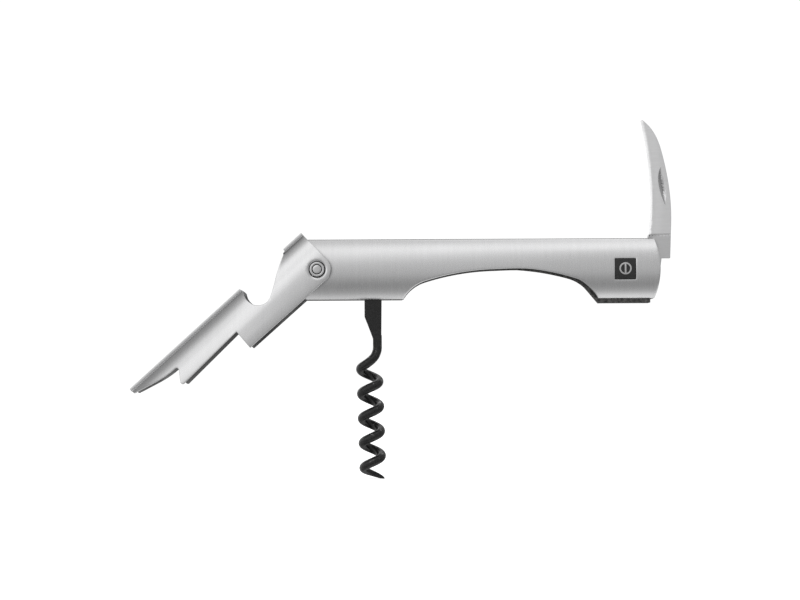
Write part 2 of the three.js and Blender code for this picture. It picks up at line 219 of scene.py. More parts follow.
def lattice(loops, across, rows, clear):
    """Points on the given rows, a step apart, that stay clear of the outlines."""
    low = min(min(p[0] for p in loop) for loop in loops)
    high = max(max(p[0] for p in loop) for loop in loops)
    spots = []
    for k, z in enumerate(rows):
        xs = np.arange(low + across * (0.25 + 0.5 * (k % 2)), high, across)
        spots += [(x, z) for x in xs]
    spots = np.array(spots)
    spots = spots[inside(spots, loops)]
    return spots[distance_to(spots, [closed(np.array(loop)) for loop in loops]) > clear]


# ---- solids -------------------------------------------------------------------------------------
class Body:
    """Collects vertices and faces, in millimetres from the lever hinge."""

    def __init__(self):
        self.points = []
        self.faces = []

    def add(self, points, faces=()):
        first = len(self.points)
        self.points += [tuple(p) for p in points]
        self.faces += [tuple(first + i for i in f) for f in faces]
        return list(range(first, len(self.points)))

    def mirrored(self):
        """A copy on the other side of the middle plane."""
        copy = Body()
        copy.points = [(x, -y, z) for x, y, z in self.points]
        copy.faces = [tuple(reversed(f)) for f in self.faces]
        return copy

    def turned(self, degrees):
        """The body turned anticlockwise about the lever hinge, as seen from the badge side."""
        c, s = math.cos(math.radians(degrees)), math.sin(math.radians(degrees))
        self.points = [(x * c - z * s, y, x * s + z * c) for x, y, z in self.points]
        return self


def strip(body, lower, upper, flip=False):
    """Quads between two closed rings of vertices."""
    n = len(lower)
    for i in range(n):
        j = (i + 1) % n
        quad = (lower[i], lower[j], upper[j], upper[i])
        body.faces.append(tuple(reversed(quad)) if flip else quad)


ROUND_STEPS = 4


def face_of(body, loops, height, extra, edge, towards, thickness=None):
    """One broad face with rounded edges. Its y is height(x, z); towards is -1 for a face that looks
    to the badge side. Where the solid is thin, the rounding takes less than half its thickness.
    Returns the ring of outermost vertices of each outline."""
    outer = [None] * len(loops)
    inner_loops = [inset(loop, edge) for loop in loops]
    points, faces = triangles(inner_loops, extra)
    xs, zs = np.array(points).T
    ys = height(xs, zs)
    ids = body.add(np.stack([xs, ys, zs], 1))
    for f in faces:
        a, b, c = (ids[i] for i in f)
        area = np.cross(
            np.array(points[f[1]]) - np.array(points[f[0]]),
            np.array(points[f[2]]) - np.array(points[f[0]]),
        )
        ccw = area > 0
        body.faces.append((a, b, c) if ccw == (towards < 0) else (a, c, b))
    first = 0
    for k, loop in enumerate(loops):
        ring = ids[first:first + len(loop)]
        first += len(loop)
        for step in range(ROUND_STEPS - 1, -1, -1):
            if edge <= 0:
                break
            angle = math.pi / 2 * step / ROUND_STEPS
            moved = inset(loop, edge * (1 - math.cos(angle)))
            depth = np.full(len(moved), edge)
            if thickness:
                depth = np.minimum(edge, 0.4 * thickness(moved[:, 0], moved[:, 1]))
            y = height(moved[:, 0], moved[:, 1]) - towards * depth * (1 - math.sin(angle))
            lower = body.add(np.stack([moved[:, 0], y, moved[:, 1]], 1))
            strip(body, lower, ring, flip=towards > 0)
            ring = lower
        outer[k] = ring
    return outer


def slab(loops, front, back, across, rows, edge=0.2, extra=()):
    """A solid between two height fields, over an outline with holes."""
    body = Body()
    spots = lattice(loops, across, rows, max(1.6 * edge, 0.45 * across))
    if len(extra):
        gaps = np.linalg.norm(spots[:, None] - np.array(extra)[None], axis=2).min(axis=1)
        spots = np.vstack([spots[gaps > 0.2], np.array(extra)])

    def thickness(x, z):
        return back(x, z) - front(x, z)

    near = face_of(body, loops, front, spots, edge, -1, thickness)
    far = face_of(body, loops, back, spots, edge, 1, thickness)
    for a, b in zip(near, far):
        strip(body, b, a)
    return body


def flat(y):
    """A height field that is the same everywhere."""
    return lambda x, z: np.full(np.shape(x), float(y))


def lathe(profile, count=72):
    """A solid turned about the lever hinge's axis. The profile is a list of (radius, y)."""
    body = Body()
    rings = []
    for r, y in profile:
        if r < 1e-6:
            rings.append(body.add([(0, y, 0)]) * count)
            continue
        angles = 2 * math.pi * np.arange(count) / count
        rings.append(body.add([(r * math.cos(a), y, r * math.sin(a)) for a in angles]))
    for a, b in zip(rings, rings[1:] + rings[:1]):
        for i in range(count):
            j = (i + 1) % count
            quad = tuple(dict.fromkeys((a[i], a[j], b[j], b[i])))
            if len(quad) > 2:
                body.faces.append(quad)
    return body


def piece(name, body, material, rides_on, replaces, sharp=38, others=(), where=None):
    """Makes the Blender object of a body and ties it to the frame. where(centre, normal) says which
    material a face gets, 0 for the first; its centre is in millimetres from the lever hinge."""
    mesh = bpy.data.meshes.new(name)
    verts = [tuple(PIVOT + Vector(p) * MM) for p in body.points]
    mesh.from_pydata(verts, [], body.faces)
    work = bmesh.new()
    work.from_mesh(mesh)
    bmesh.ops.remove_doubles(work, verts=work.verts, dist=1e-7)
    bmesh.ops.recalc_face_normals(work, faces=work.faces)
    work.to_mesh(mesh)
    work.free()
    mesh.polygons.foreach_set("use_smooth", [True] * len(mesh.polygons))
    mesh.set_sharp_from_angle(angle=math.radians(sharp))
    mesh.materials.append(material)
    for other in others:
        mesh.materials.append(other)
    if others:
        for face in mesh.polygons:
            face.material_index = int(where((face.center - PIVOT) / MM, face.normal))
    thing = bpy.data.objects.new(name, mesh)
    bpy.context.scene.collection.objects.link(thing)
    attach(thing, rides_on)
    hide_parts(*replaces)
    return thing


# ---- materials ----------------------------------------------------------------------------------
def grey(level):
    return (level, level, level)


def new_material(name):
    """An empty node material: (material, its node tree, its shader)."""
    material = bpy.data.materials.new(name)
    material.use_nodes = True
    tree = material.node_tree
    shader = tree.nodes["Principled BSDF"]
    return material, tree, shader


def add_node(tree, kind, **settings):
    made = tree.nodes.new(kind)
    for key, value in settings.items():
        setattr(made, key, value)
    return made


def noise(tree, stretch, scale, detail=4, turn=0.0):
    """Noise in the object's own space, stretched along its axes. Scale is in cells per metre."""
    place = add_node(tree, "ShaderNodeTexCoord")
    mapping = add_node(tree, "ShaderNodeMapping")
    mapping.inputs["Rotation"].default_value = (0, math.radians(turn), 0)
    mapping.inputs["Scale"].default_value = stretch
    texture = add_node(tree, "ShaderNodeTexNoise")
    texture.inputs["Scale"].default_value = scale
    texture.inputs["Detail"].default_value = detail
    tree.links.new(place.outputs["Object"], mapping.inputs["Vector"])
    tree.links.new(mapping.outputs["Vector"], texture.inputs["Vector"])
    return texture.outputs["Fac"]


def remap(tree, value, low, high, from_low=0.3, from_high=0.7):
    """A value moved from one range to another. Noise mostly lies between 0.3 and 0.7."""
    spread = add_node(tree, "ShaderNodeMapRange")
    spread.inputs["From Min"].default_value = from_low
    spread.inputs["From Max"].default_value = from_high
    spread.inputs["To Min"].default_value = low
    spread.inputs["To Max"].default_value = high
    tree.links.new(value, spread.inputs["Value"])
    return spread.outputs["Result"]


def mixed(tree, factor, low, high):
    """A colour between two greys or colours."""
    ramp = add_node(tree, "ShaderNodeMix", data_type="RGBA")
    ramp.inputs[6].default_value = (*low, 1)
    ramp.inputs[7].default_value = (*high, 1)
    tree.links.new(factor, ramp.inputs[0])
    return ramp.outputs[2]


def combined(tree, a, b, how="ADD"):
    """Two values added, or combined in another way."""
    math_node = add_node(tree, "ShaderNodeMath", operation=how)
    tree.links.new(a, math_node.inputs[0])
    tree.links.new(b, math_node.inputs[1])
    return math_node.outputs[0]


def roughen(tree, shader, height, strength, depth):
    """Bumps from a height value, at most depth metres deep."""
    bump = add_node(tree, "ShaderNodeBump")
    bump.inputs["Strength"].default_value = strength
    bump.inputs["Distance"].default_value = depth
    tree.links.new(height, bump.inputs["Height"])
    tree.links.new(bump.outputs["Normal"], shader.inputs["Normal"])


def worn_edges(tree, low, high):
    """0 on flat ground, 1 on worn outer edges."""
    geometry = add_node(tree, "ShaderNodeNewGeometry")
    return remap(tree, geometry.outputs["Pointiness"], low, high, 0.53, 0.6)


def painted_gap_shade(tree, colour, reach):
    """The colour, darkened with painted shade in gaps and corners."""
    shade = add_node(tree, "ShaderNodeAmbientOcclusion", samples=16)
    shade.inputs["Distance"].default_value = reach
    deep = remap(tree, shade.outputs["AO"], 0.12, 1.0, 0.25, 0.8)
    darker = add_node(tree, "ShaderNodeMix", data_type="RGBA", blend_type="MULTIPLY")
    darker.inputs[0].default_value = 1
    tree.links.new(colour, darker.inputs[6])
    tree.links.new(deep, darker.inputs[7])
    return darker.outputs[2]


def brushed(name, tone, rough, grain, turn=0.0, grain_depth=0.00002, wear=0.06):
    """Brushed steel: fine grain across the piece, soft cloudy marks, lighter worn edges, and painted
    shade darkening its colour in gaps and corners.
    """
    material, tree, shader = new_material(name)
    fine = noise(tree, grain, 1.0, 5, turn)
    cloud = noise(tree, (1, 1, 1), 55, 3)
    streak = noise(tree, tuple(g * 0.22 for g in grain), 1.0, 3, turn)
    dark = tuple(c * 0.96 for c in tone)
    light = tuple(min(1, c * 1.04) for c in tone)
    grain_mix = combined(tree, remap(tree, fine, 0.0, 0.5), remap(tree, streak, 0.0, 0.5))
    colour = mixed(tree, grain_mix, dark, light)
    edge = worn_edges(tree, 0, wear)
    brighter = add_node(tree, "ShaderNodeMix", data_type="RGBA", blend_type="ADD")
    tree.links.new(edge, brighter.inputs[0])
    tree.links.new(colour, brighter.inputs[6])
    brighter.inputs[7].default_value = (1, 1, 1, 1)
    # Painted shade: the colour is darkened where gaps and corners close in on the surface.
    tree.links.new(painted_gap_shade(tree, brighter.outputs[2], 0.003), shader.inputs["Base Color"])
    base = remap(tree, cloud, rough - 0.025, rough + 0.025)
    spread = remap(tree, fine, -0.03, 0.03)
    tree.links.new(combined(tree, base, spread), shader.inputs["Roughness"])
    shader.inputs["Metallic"].default_value = 1
    roughen(tree, shader, fine, 0.15, grain_depth)
    return material


def mottled(name, low, high, metallic, rough, cells, depth):
    """A dark treated or coated surface with mottling and fine pits."""
    material, tree, shader = new_material(name)
    patches = noise(tree, (1, 1, 1), cells, 6)
    speck = noise(tree, (1, 1, 1), cells * 5, 2)
    colour = mixed(tree, remap(tree, patches, 0, 1, 0.35, 0.7), low, high)
    tree.links.new(colour, shader.inputs["Base Color"])
    shader.inputs["Metallic"].default_value = metallic
    tree.links.new(remap(tree, speck, rough - 0.08, rough + 0.1), shader.inputs["Roughness"])
    roughen(tree, shader, combined(tree, patches, speck), 0.5, depth)
    return material


def coated(name):
    """Slick black coating with fine speckle, and painted glints: small lighter metallic flecks on
    surfaces that look up.
    """
    material, tree, shader = new_material(name)
    speck = noise(tree, (1, 1, 1), 4500, 3)
    colour = mixed(tree, remap(tree, speck, 0, 1, 0.4, 0.65), grey(0.003), grey(0.016))
    # Painted glints: noise flecks, kept to surfaces that face up, turn lighter and metallic.
    glint_spots = remap(tree, noise(tree, (1, 1, 1), 750, 4), 0, 1, 0.6, 0.68)
    geometry = add_node(tree, "ShaderNodeNewGeometry")
    axes = add_node(tree, "ShaderNodeSeparateXYZ")
    tree.links.new(geometry.outputs["Normal"], axes.inputs[0])
    painted_glint = combined(tree, glint_spots, remap(tree, axes.outputs["Z"], 0, 1, 0.1, 0.5), "MULTIPLY")
    glint_colour = add_node(tree, "ShaderNodeMix", data_type="RGBA")
    glint_colour.inputs[7].default_value = (*grey(0.22), 1)
    tree.links.new(painted_glint, glint_colour.inputs[0])
    tree.links.new(colour, glint_colour.inputs[6])
    tree.links.new(glint_colour.outputs[2], shader.inputs["Base Color"])
    tree.links.new(painted_glint, shader.inputs["Metallic"])
    shader.inputs["Specular IOR Level"].default_value = 0.36
    tree.links.new(remap(tree, speck, 0.2, 0.34), shader.inputs["Roughness"])
    roughen(tree, shader, speck, 0.5, 0.00004)
    return material


LEVER_DROOP = 42.2
satin = {"tone": (0.71, 0.71, 0.715), "grain": (5200, 700, 260), "grain_depth": 0.000008}
handle_steel = brushed("handle_steel", rough=0.27, **satin)
lever_steel = brushed("lever_steel", rough=0.25, turn=LEVER_DROOP, **satin)
# Painted shade for the lever's inner faces and cut edges: the same kind of brushed steel, much darker.
lever_shade_steel = brushed("lever_shade_steel", grey(0.26), 0.45, (900, 900, 900))
blade_steel = brushed("blade_steel", (0.7, 0.7, 0.705), 0.32, (500, 500, 6500))
ground_steel = brushed("ground_steel", (0.86, 0.86, 0.865), 0.32, (500, 500, 6500))
# Painted shade for the left wall of the blade's nail nick: a darker blade steel.
nick_shade_steel = brushed("nick_shade_steel", (0.5, 0.5, 0.505), 0.28, (500, 500, 3000))
rivet_steel = brushed("rivet_steel", (0.66, 0.66, 0.665), 0.24, (2500, 2500, 2500))
spring_steel = brushed("spring_steel", (0.36, 0.36, 0.37), 0.36, (900, 900, 4200))
bronze = brushed("bronze", (0.62, 0.47, 0.27), 0.36, (1800, 1800, 1800))
dark_steel = mottled("dark_steel", grey(0.03), (0.13, 0.127, 0.124), 0.7, 0.5, 900, 0.00004)
# Painted shade for the shells' inner faces and cut edges: a dark mottled steel.
shell_shade_steel = mottled("shell_shade_steel", grey(0.02), (0.06, 0.058, 0.056), 0.3, 0.6, 1200, 0.00002)
worm_black = coated("worm_black")
badge_black = mottled("badge_black", grey(0.008), grey(0.018), 0.0, 0.35, 2200, 0.00001)
badge_mark = brushed("badge_mark", grey(0.62), 0.35, (2400, 2400, 2400))

# ---- handle -------------------------------------------------------------------------------------
# The section is an oval whose shells meet the liners at the seam. In side view the right end is one
# large arc, and the finger arch is a long arc that turns down at each end through a tighter bend.
SHELL_HALF, SHELL_HEIGHT, SHELL_WALL, SEAM = 5.9, 10.98, 1.0, 2.25
LEFT, TOP, BOTTOM = -4.4, 10.15, -10.0
END_X, END_Z, END_R = 84.1, 0.3, 31.0
ARCH_X, ARCH_TOP, ARCH_R, FLARE_R = 61.6, -0.1, 84.0, 13.0
# An arch's end is how far round its long arc stops, and how steep the bend after it gets, in degrees.
ARCH_END = (17.6, 58.5)
HOLE_R = 2.62


def arch_rise(x):
    """How much higher the shells' edge is towards the arch's right, where the liner shows below it."""
    return 0.6 * blend_between(59, 73, x) * (1 - blend_between(87, 92, x))


def flare(end, centre, bottom):
    """Where one end of the arch turns down: the middle of its bend, and its foot."""
    wide, steep = math.radians(end[0]), math.radians(end[1])
    out = (ARCH_R - FLARE_R) * math.sin(wide)
    z = centre + (ARCH_R - FLARE_R) * math.cos(wide)
    knee_z = z + FLARE_R * math.cos(steep)
    return out, z, out + FLARE_R * math.sin(steep) + (knee_z - bottom) / math.tan(steep)


def arch_line(lift, left_bottom, right_bottom, right_end):
    """The finger arch from left to right, down to a height on each side."""
    centre = ARCH_TOP + lift - ARCH_R
    left_out, left_z, left_foot = flare(ARCH_END, centre, left_bottom)
    right_out, right_z, right_foot = flare(right_end, centre, right_bottom)
    line = [(ARCH_X - left_foot, left_bottom)]
    line += arc(ARCH_X - left_out, left_z, FLARE_R, 90 + ARCH_END[1], 90 + ARCH_END[0], 14)
    line += arc(ARCH_X, centre, ARCH_R, 90 + ARCH_END[0], 90 - right_end[0], 60)
    line += arc(ARCH_X + right_out, right_z, FLARE_R, 90 - right_end[0], 90 - right_end[1], 14)
    return line + [(ARCH_X + right_foot, right_bottom)]


def side_view(margin, top, bottom, arch, corner):
    """Outline of a shell or liner with a given arch, its ends a margin inside the handle's."""
    r = END_R - margin
    high = math.degrees(math.asin((top - END_Z) / r))
    low = math.degrees(math.asin((bottom - END_Z) / r))
    end = arc(END_X, END_Z, r, low, high, 40)
    return rounded([(LEFT + margin, bottom)] + arch + end + [(LEFT + margin, top)], corner, 40)


def shell_outline():
    arch = [(x, z + arch_rise(x)) for x, z in arch_line(0, BOTTOM, BOTTOM, ARCH_END)]
    return side_view(0, TOP, BOTTOM, arch, 0.9)


def oval(z, margin=0.0):
    """Half-depth of the handle's oval section at a height."""
    a, b = SHELL_HALF - margin, SHELL_HEIGHT - margin
    return a * np.sqrt(np.maximum(1 - (z / b) ** 2, 0))


def circle_hole(x, z, r, count=48):
    """A hole is run the other way round from an outline."""
    return arc(x, z, r, 360, 0, count + 1)[:-1]


def rectangle(left, low, right, high):
    return [(left, low), (right, low), (right, high), (left, high)]


def square(x, z, side, corner, hole=False):
    h = side / 2
    points = rounded(rectangle(x - h, z - h, x + h, z + h), corner)
    return points[::-1] if hole else points


BADGE_X, BADGE_Z, BADGE_SIDE = 103.3, -0.25, 6.85
oval_rows = SHELL_HEIGHT * np.sin(np.radians(np.linspace(-66, 66, 45)))


def shell_body(loops):
    """The badge side's shell: an oval skin whose inside is cut off flat at the seam."""
    def front(x, z):
        return -oval(z)

    def back(x, z):
        return -np.maximum(oval(z, SHELL_WALL), SEAM)

    rings = [resampled(loop, 0.5) for loop in loops]
    return slab(rings, front, back, 1.1, oval_rows, edge=0.3)


pocket = square(BADGE_X, BADGE_Z, BADGE_SIDE + 0.1, 0.25, hole=True)
hinge_hole = circle_hole(0, 0, HOLE_R)
front_shell = shell_body([shell_outline(), hinge_hole, pocket])
rear_shell = shell_body([shell_outline(), hinge_hole]).mirrored()


def shell_shade_faces(centre, normal):
    """Inner faces and cut edges of a shell, which get painted shade, a dark mottled steel."""
    outwards = normal.y * (1 if centre.y > 0 else -1)
    return outwards < 0.05 and BOTTOM + 0.1 < centre.z < TOP - 0.1


shells = (
    ("front_shell_skin", front_shell, "shell_front"),
    ("rear_shell_skin", rear_shell, "shell_rear"),
)
for name, body, node in shells:
    piece(name, body, handle_steel, "handle", [node],
          others=(shell_shade_steel,), where=shell_shade_faces)


def on_shell(offset):
    """A height field that follows the badge side's shell, sunk by an offset."""
    return lambda x, z: -oval(z) + offset


def badge():
    """A black inlay that follows the shell, with a plain ring and bar as its mark."""
    loop = resampled(square(BADGE_X, BADGE_Z, BADGE_SIDE, 0.2), 0.5)
    rows = np.arange(BADGE_Z - 3.4, BADGE_Z + 3.5, 0.4)
    plate = slab([loop], on_shell(-0.01), on_shell(0.32), 0.5, rows, edge=0.05)
    piece("badge_inlay", plate, badge_black, "handle", ["badge_plate"])

    ring_r, hollow_r, bar_half = 2.05, 1.55, 0.28
    middle = BADGE_Z + 0.15
    ring = resampled(arc(BADGE_X, middle, ring_r, 0, 360, 61)[:-1], 0.25)
    hollow = circle_hole(BADGE_X, middle, hollow_r, 48)
    bar = rectangle(BADGE_X - bar_half, BADGE_Z - 1.6, BADGE_X + bar_half, BADGE_Z + 1.9)
    rows = np.arange(BADGE_Z - 3, BADGE_Z + 3, 0.2)
    for name, loops in (("badge_ring", [ring, hollow]), ("badge_bar", [resampled(bar, 0.25)])):
        mark = slab(loops, on_shell(-0.05), on_shell(0.02), 0.3, rows, edge=0.015)
        piece(name, mark, badge_mark, "handle", ["badge_plate"])


badge()

# ---- liners, spacer and foot --------------------------------------------------------------------
LINER_INNER, LINER_OUTER = 1.7, 2.2
LINER_TOP, LINER_BOTTOM, LINER_MARGIN, LINER_END = 10.3, -10.15, 0.3, (15.7, 50.0)
CORE_HALF, CORE_TOP = 1.6, 10.25
(foot_left, _, foot_low), (foot_right, _, foot_high) = low_high("foot_block")


def liner_body(lift):
    """A flat liner whose arch runs on down into the foot that hangs below the handle."""
    arch = arch_line(lift, LINER_BOTTOM, foot_low, LINER_END)
    arch += [(foot_right, foot_low), (foot_right, LINER_BOTTOM)]
    outline = side_view(LINER_MARGIN, LINER_TOP, LINER_BOTTOM, arch, 0.25)
    loops = [resampled(tidy(outline), 1.0), hinge_hole]
    rows = np.arange(-10, 10.1, 1.0)
    return slab(loops, flat(-LINER_OUTER), flat(-LINER_INNER), 2.0, rows, edge=0.06)


# The folded worm's point lies on the rear side, so the rear liner's arch is a little higher.
front_liner = liner_body(-0.08)
rear_liner = liner_body(0.5).mirrored()
piece("front_liner_sheet", front_liner, dark_steel, "handle", ["liner_front"])
piece("rear_liner_sheet", rear_liner, dark_steel, "handle", ["liner_rear"])


def core_plate(name, points, material, node, holes=(), edge=0.15):
    """A flat plate that fills the space between the liners."""
    loops = [resampled(points, 1.0)] + [list(h) for h in holes]
    low = min(z for _, z in points)
    high = max(z for _, z in points)
    rows = np.arange(low + 0.5, high, 0.9)
    body = slab(loops, flat(-CORE_HALF), flat(CORE_HALF), 1.4, rows, edge=edge)
    piece(name, body, material, "handle", [node])


spine = [
    (-3.9, -9.6), (8.6, -9.6), (8.6, 2.6), (13, 3.8), (33, 3.8), (42, 7.8),
    (62.6, 7.8), (62.6, CORE_TOP), (-2.8, CORE_TOP), (-3.9, 9.2),
]
core_plate("spine_bar", rounded(spine, 0.5), handle_steel, "spine_spacer", [hinge_hole])
foot = rectangle(foot_left, foot_low, foot_right, foot_high)
core_plate("foot_spacer", rounded(foot, 0.4), dark_steel, "foot_block")

# ---- lever --------------------------------------------------------------------------------------
# The lever is drawn level, pointing left with its back up: x = -along, z = across.
LEVER_BACK, LEVER_TIP, LEVER_OUTER, WEB_INNER = -4.3, 72.9, 12.6, 11.5
RIM_HALF, EAR_R, NECK, NECK_LOW, LEVER_WALL = 7.8, 4.7, 34.1, -4.4, 0.75
WEB_MID = 3.6
RIM_ROWS = (11.44, 11.5, 11.54, 11.6, 11.72)


def lever_outline():
    """Side view of the lever as (along, across)."""
    points = [(LEVER_BACK, LEVER_OUTER)]
    points += arc(0, 0, EAR_R, 172, 271, 20)
    points += [(NECK, NECK_LOW), (NECK - 0.2, 2.7), (57.9, 1.7)]
    points += bezier((57.9, 1.7), (59.2, 1.4), (59.0, 2.9), count=8)
    points += bezier((59.0, 2.9), (57.9, 4.5), (56.7, 6.2), count=6)
    points += bezier((56.7, 6.2), (56.3, 7.6), (57.6, 7.5), count=6)
    points += bezier((57.6, 7.5), (63, 7.5), (67, 9.1), (LEVER_TIP + 0.1, 10.5), count=26)
    points += [(LEVER_TIP, LEVER_OUTER), (23.5, LEVER_OUTER), (23.3, 10.9)]
    points += arc(19.5, 8.0, 4.75, 32, -100, 26)
    points += bezier((18.68, 3.32), (16.2, 4.5), (12.2, 7.4), count=10)
    points += bezier((12.2, 7.4), (8.5, 9.9), (4.0, 11.9), count=12)
    points += [(3.8, LEVER_OUTER)]
    return rounded(points, 0.25, 28)


# Half-depth of the wall's outer face across the lever, at the ear and at the lower end.
EAR_FACE = (
    (-6, 6.98), (-4.7, 7.17), (-4, 7.26), (-3.2, 7.33), (-2, 7.36), (0, 7.31), (1.2, 7.24), (2.4, 7.13),
    (4, 6.87), (4.8, 6.68), (5.6, 6.43), (6.4, 6.15), (7.2, 5.88), (8, 5.66), (8.8, 5.5), (9.6, 5.42),
    (10.4, 5.46), (11.44, 5.7),
)
LOW_FACE = (
    (-6, 7.3), (-4.7, 7.5), (-4, 7.6), (-3.2, 7.66), (-2, 7.68), (0, 7.55), (1.2, 7.44), (2.4, 7.3),
    (4, 6.97), (4.8, 6.77), (5.6, 6.56), (6.4, 6.37), (7.2, 6.22), (8, 6.09), (8.8, 6.01), (9.6, 6.03),
    (10.4, 6.17), (11.44, 6.46),
)


def smooth_line(table, v):
    """A smooth curve through a short table, by cubic Hermite pieces."""
    xs, ys = np.array(table).T
    slopes = np.gradient(ys, xs)
    v = np.clip(v, xs[0], xs[-1])
    k = np.clip(np.searchsorted(xs, v) - 1, 0, len(xs) - 2)
    h = xs[k + 1] - xs[k]
    t = (v - xs[k]) / h
    return (
        ys[k] * (1 + 2 * t) * (1 - t) ** 2 + slopes[k] * h * t * (1 - t) ** 2
        + ys[k + 1] * t * t * (3 - 2 * t) + slopes[k + 1] * h * t * t * (t - 1)
    )


def wall_face(x, z):
    """Half-depth of the lever's outer face, rim included, without the dimple."""
    share = blend_between(6, 36, -x)
    face = smooth_line(EAR_FACE, z) * (1 - share) + smooth_line(LOW_FACE, z) * share
    up = np.clip((z - WEB_INNER) / 0.22, 0, 1)
    lip = RIM_HALF - 0.14 * (1 - np.sqrt(np.clip(1 - (1 - up) ** 2, 0, 1)))
    return np.where(z > WEB_INNER - 0.02, lip, face)


DIMPLE_R, DIMPLE_DEPTH = 3.1, 0.42


def lever_front(x, z):
    """The wall's outer face, with its dimple round the hinge."""
    r = np.hypot(x, z)
    sink = DIMPLE_DEPTH * (1 - blend_between(DIMPLE_R - 0.5, DIMPLE_R + 0.35, r))
    return -(wall_face(x, z) - sink)


(washer_left, washer_face, _), (washer_right, _, _) = low_high("lever_washer_front")
SEAT_R, SEAT_FACE = (washer_right - washer_left) / 2 + 1.2, -washer_face + 0.06


def lever_inner(x, z):
    """The wall's inner face, curving in to the web, with a flat seat for the washer."""
    shoulder = np.interp(z, (8.4, 10.4, WEB_INNER), (4.8, 4.4, WEB_MID))
    side = np.minimum(6.55 - z * z / 48, wall_face(x, z) - LEVER_WALL)
    side = np.where(np.hypot(x, z) < SEAT_R, np.maximum(side, SEAT_FACE), side)
    return -np.where(z > 8.4, shoulder, side)


def lever_wall(body, outline, hole):
    """The near wall's two faces, the inner one stopping at the web. Returns the rings of vertices round
    the outer face and round the inner face, and the outline that the inner face has."""
    edge = 0.22
    rows = [*np.arange(-4.0, 11.2, 0.42), *RIM_ROWS, 12.1]
    spots = lattice([outline, hole], 0.75, rows, 1.5 * edge)
    spots = spots[np.hypot(*spots.T) > DIMPLE_R + 0.6]
    rings = [arc(0, 0, r, 0, 360, 57)[:-1] for r in (2.95, 3.1, 3.25, 3.4)]
    outer = face_of(body, [outline, hole], lever_front, np.vstack([spots, *rings]), edge, -1)
    below_web = [p for p in outline if p[1] <= WEB_INNER + SAME]
    below_web = resampled_line_at(below_web, WEB_INNER, 0.8)
    spots = lattice([below_web, hole], 1.2, np.arange(-4, 11.3, 0.7), 0.35)
    inner = face_of(body, [below_web, hole], lever_inner, spots, 0, 1)
    return outer, inner, below_web


def lever_body():
    """A channel: two walls with rounded outer faces, mirror images joined by the web along the back."""
    outline = split_at(resampled([(-u, v) for u, v in lever_outline()], 0.45), RIM_ROWS)[::-1]
    hole = circle_hole(0, 0, HOLE_R, 56)
    body = Body()
    outer, inner, below_web = lever_wall(body, outline, hole)
    far = body.mirrored()
    shift = body.add(far.points, far.faces)[0]

    def place(p):
        return round(p[0], 4), round(p[1], 4)

    def both_walls(quad):
        body.faces.append(quad)
        body.faces.append(tuple(reversed([i + shift for i in quad])))

    # Each outline point's vertex on the inner face. Along the web, also the one across from it.
    inner_at = {place(p): i for p, i in zip(below_web, inner[0])}
    across = {}
    for i, p in enumerate(outline):
        if p[1] < WEB_INNER - SAME:
            continue
        if place(p) in inner_at:
            across[i] = (inner_at[place(p)], inner_at[place(p)] + shift)
        else:
            across[i] = tuple(body.add([(p[0], -WEB_MID, p[1]), (p[0], WEB_MID, p[1])]))
    for i, p in enumerate(outline):
        j = (i + 1) % len(outline)
        start, end = outer[0][i], outer[0][j]
        if i in across and j in across:
            (a, b), (c, d) = across[i], across[j]
            body.faces += [(start, a, c, end), (a, b, d, c), (b, start + shift, end + shift, d)]
        else:
            both_walls((start, inner_at[place(p)], inner_at[place(outline[j])], end))
    for i in range(len(hole)):
        j = (i + 1) % len(hole)
        both_walls((outer[1][i], inner[1][i], inner[1][j], outer[1][j]))
    for i, p in enumerate(below_web):
        j = (i + 1) % len(below_web)
        if abs(p[1] - WEB_INNER) < SAME and abs(below_web[j][1] - WEB_INNER) < SAME:
            a, b = inner[0][i], inner[0][j]
            body.faces.append((a, a + shift, b + shift, b))
    return body


lever = lever_body().turned(LEVER_DROOP)


def lever_shade_faces(centre, normal):
    """Inner faces and cut edges of the lever, which get painted shade, a darker steel; its back is
    finished.
    """
    lean = math.radians(LEVER_DROOP)
    outwards = normal.y * (1 if centre.y > 0 else -1)
    backwards = normal.z * math.cos(lean) - normal.x * math.sin(lean)
    across = centre.z * math.cos(lean) - centre.x * math.sin(lean)
    under_rim = across > 11 and abs(centre.y) > 5
    return outwards < 0.3 and backwards < 0.9 and not under_rim


piece("lever_body", lever, lever_steel, "lever", ["lever_arm"], sharp=34,
      others=(lever_shade_steel,), where=lever_shade_faces)

# ---- lever rivet --------------------------------------------------------------------------------
PIVOT_END, CORE_FACE, BORE_R = 7.33, 7.28, 1.65
sleeve_profile = [
    (1.75, PIVOT_END - 0.05), (1.95, PIVOT_END), (2.22, PIVOT_END),
    (2.42, PIVOT_END - 0.06), (2.5, PIVOT_END - 0.25),
]
core_profile = [
    (1.5, CORE_FACE - 0.3), (1.42, CORE_FACE - 0.08), (1.2, CORE_FACE),
    (0.6, CORE_FACE + 0.02), (0, CORE_FACE + 0.02),
]


def near_end(profile):
    """The same profile at the badge side's end, run back the other way."""
    return [(r, -y) for r, y in reversed(profile)]


core_pin = lathe(near_end(core_profile) + core_profile)
piece("rivet_core", core_pin, rivet_steel, "handle", ["lever_core_pin"])
bore = [(BORE_R, 0.2 - PIVOT_END), (BORE_R, PIVOT_END - 0.2)]
sleeve = lathe(sleeve_profile + near_end(sleeve_profile) + bore)
piece("rivet_sleeve", sleeve, rivet_steel, "handle", ["lever_sleeve"])

# ---- worm ---------------------------------------------------------------------------------------
WIRE_R, COIL_R, PITCH = 1.53, 3.1, 8.3
AXIS_X, AXIS_Z, AXIS_SLOPE = 17.1, -26.5, 0.03
FIRST_RIGHT, TURNS_ABOVE, TURNS_BELOW, POINT_TURNS = -37.6, 0.68, 3.95, 0.62
SHANK_LEFT, SHANK_RIGHT = 15.7, 21.3


def wire_radius(left):
    """Radius of the wire, given how much of its pointed end is still to come."""
    return WIRE_R * (0.1 + 0.9 * math.sqrt(min(max(left, 0), 1)))


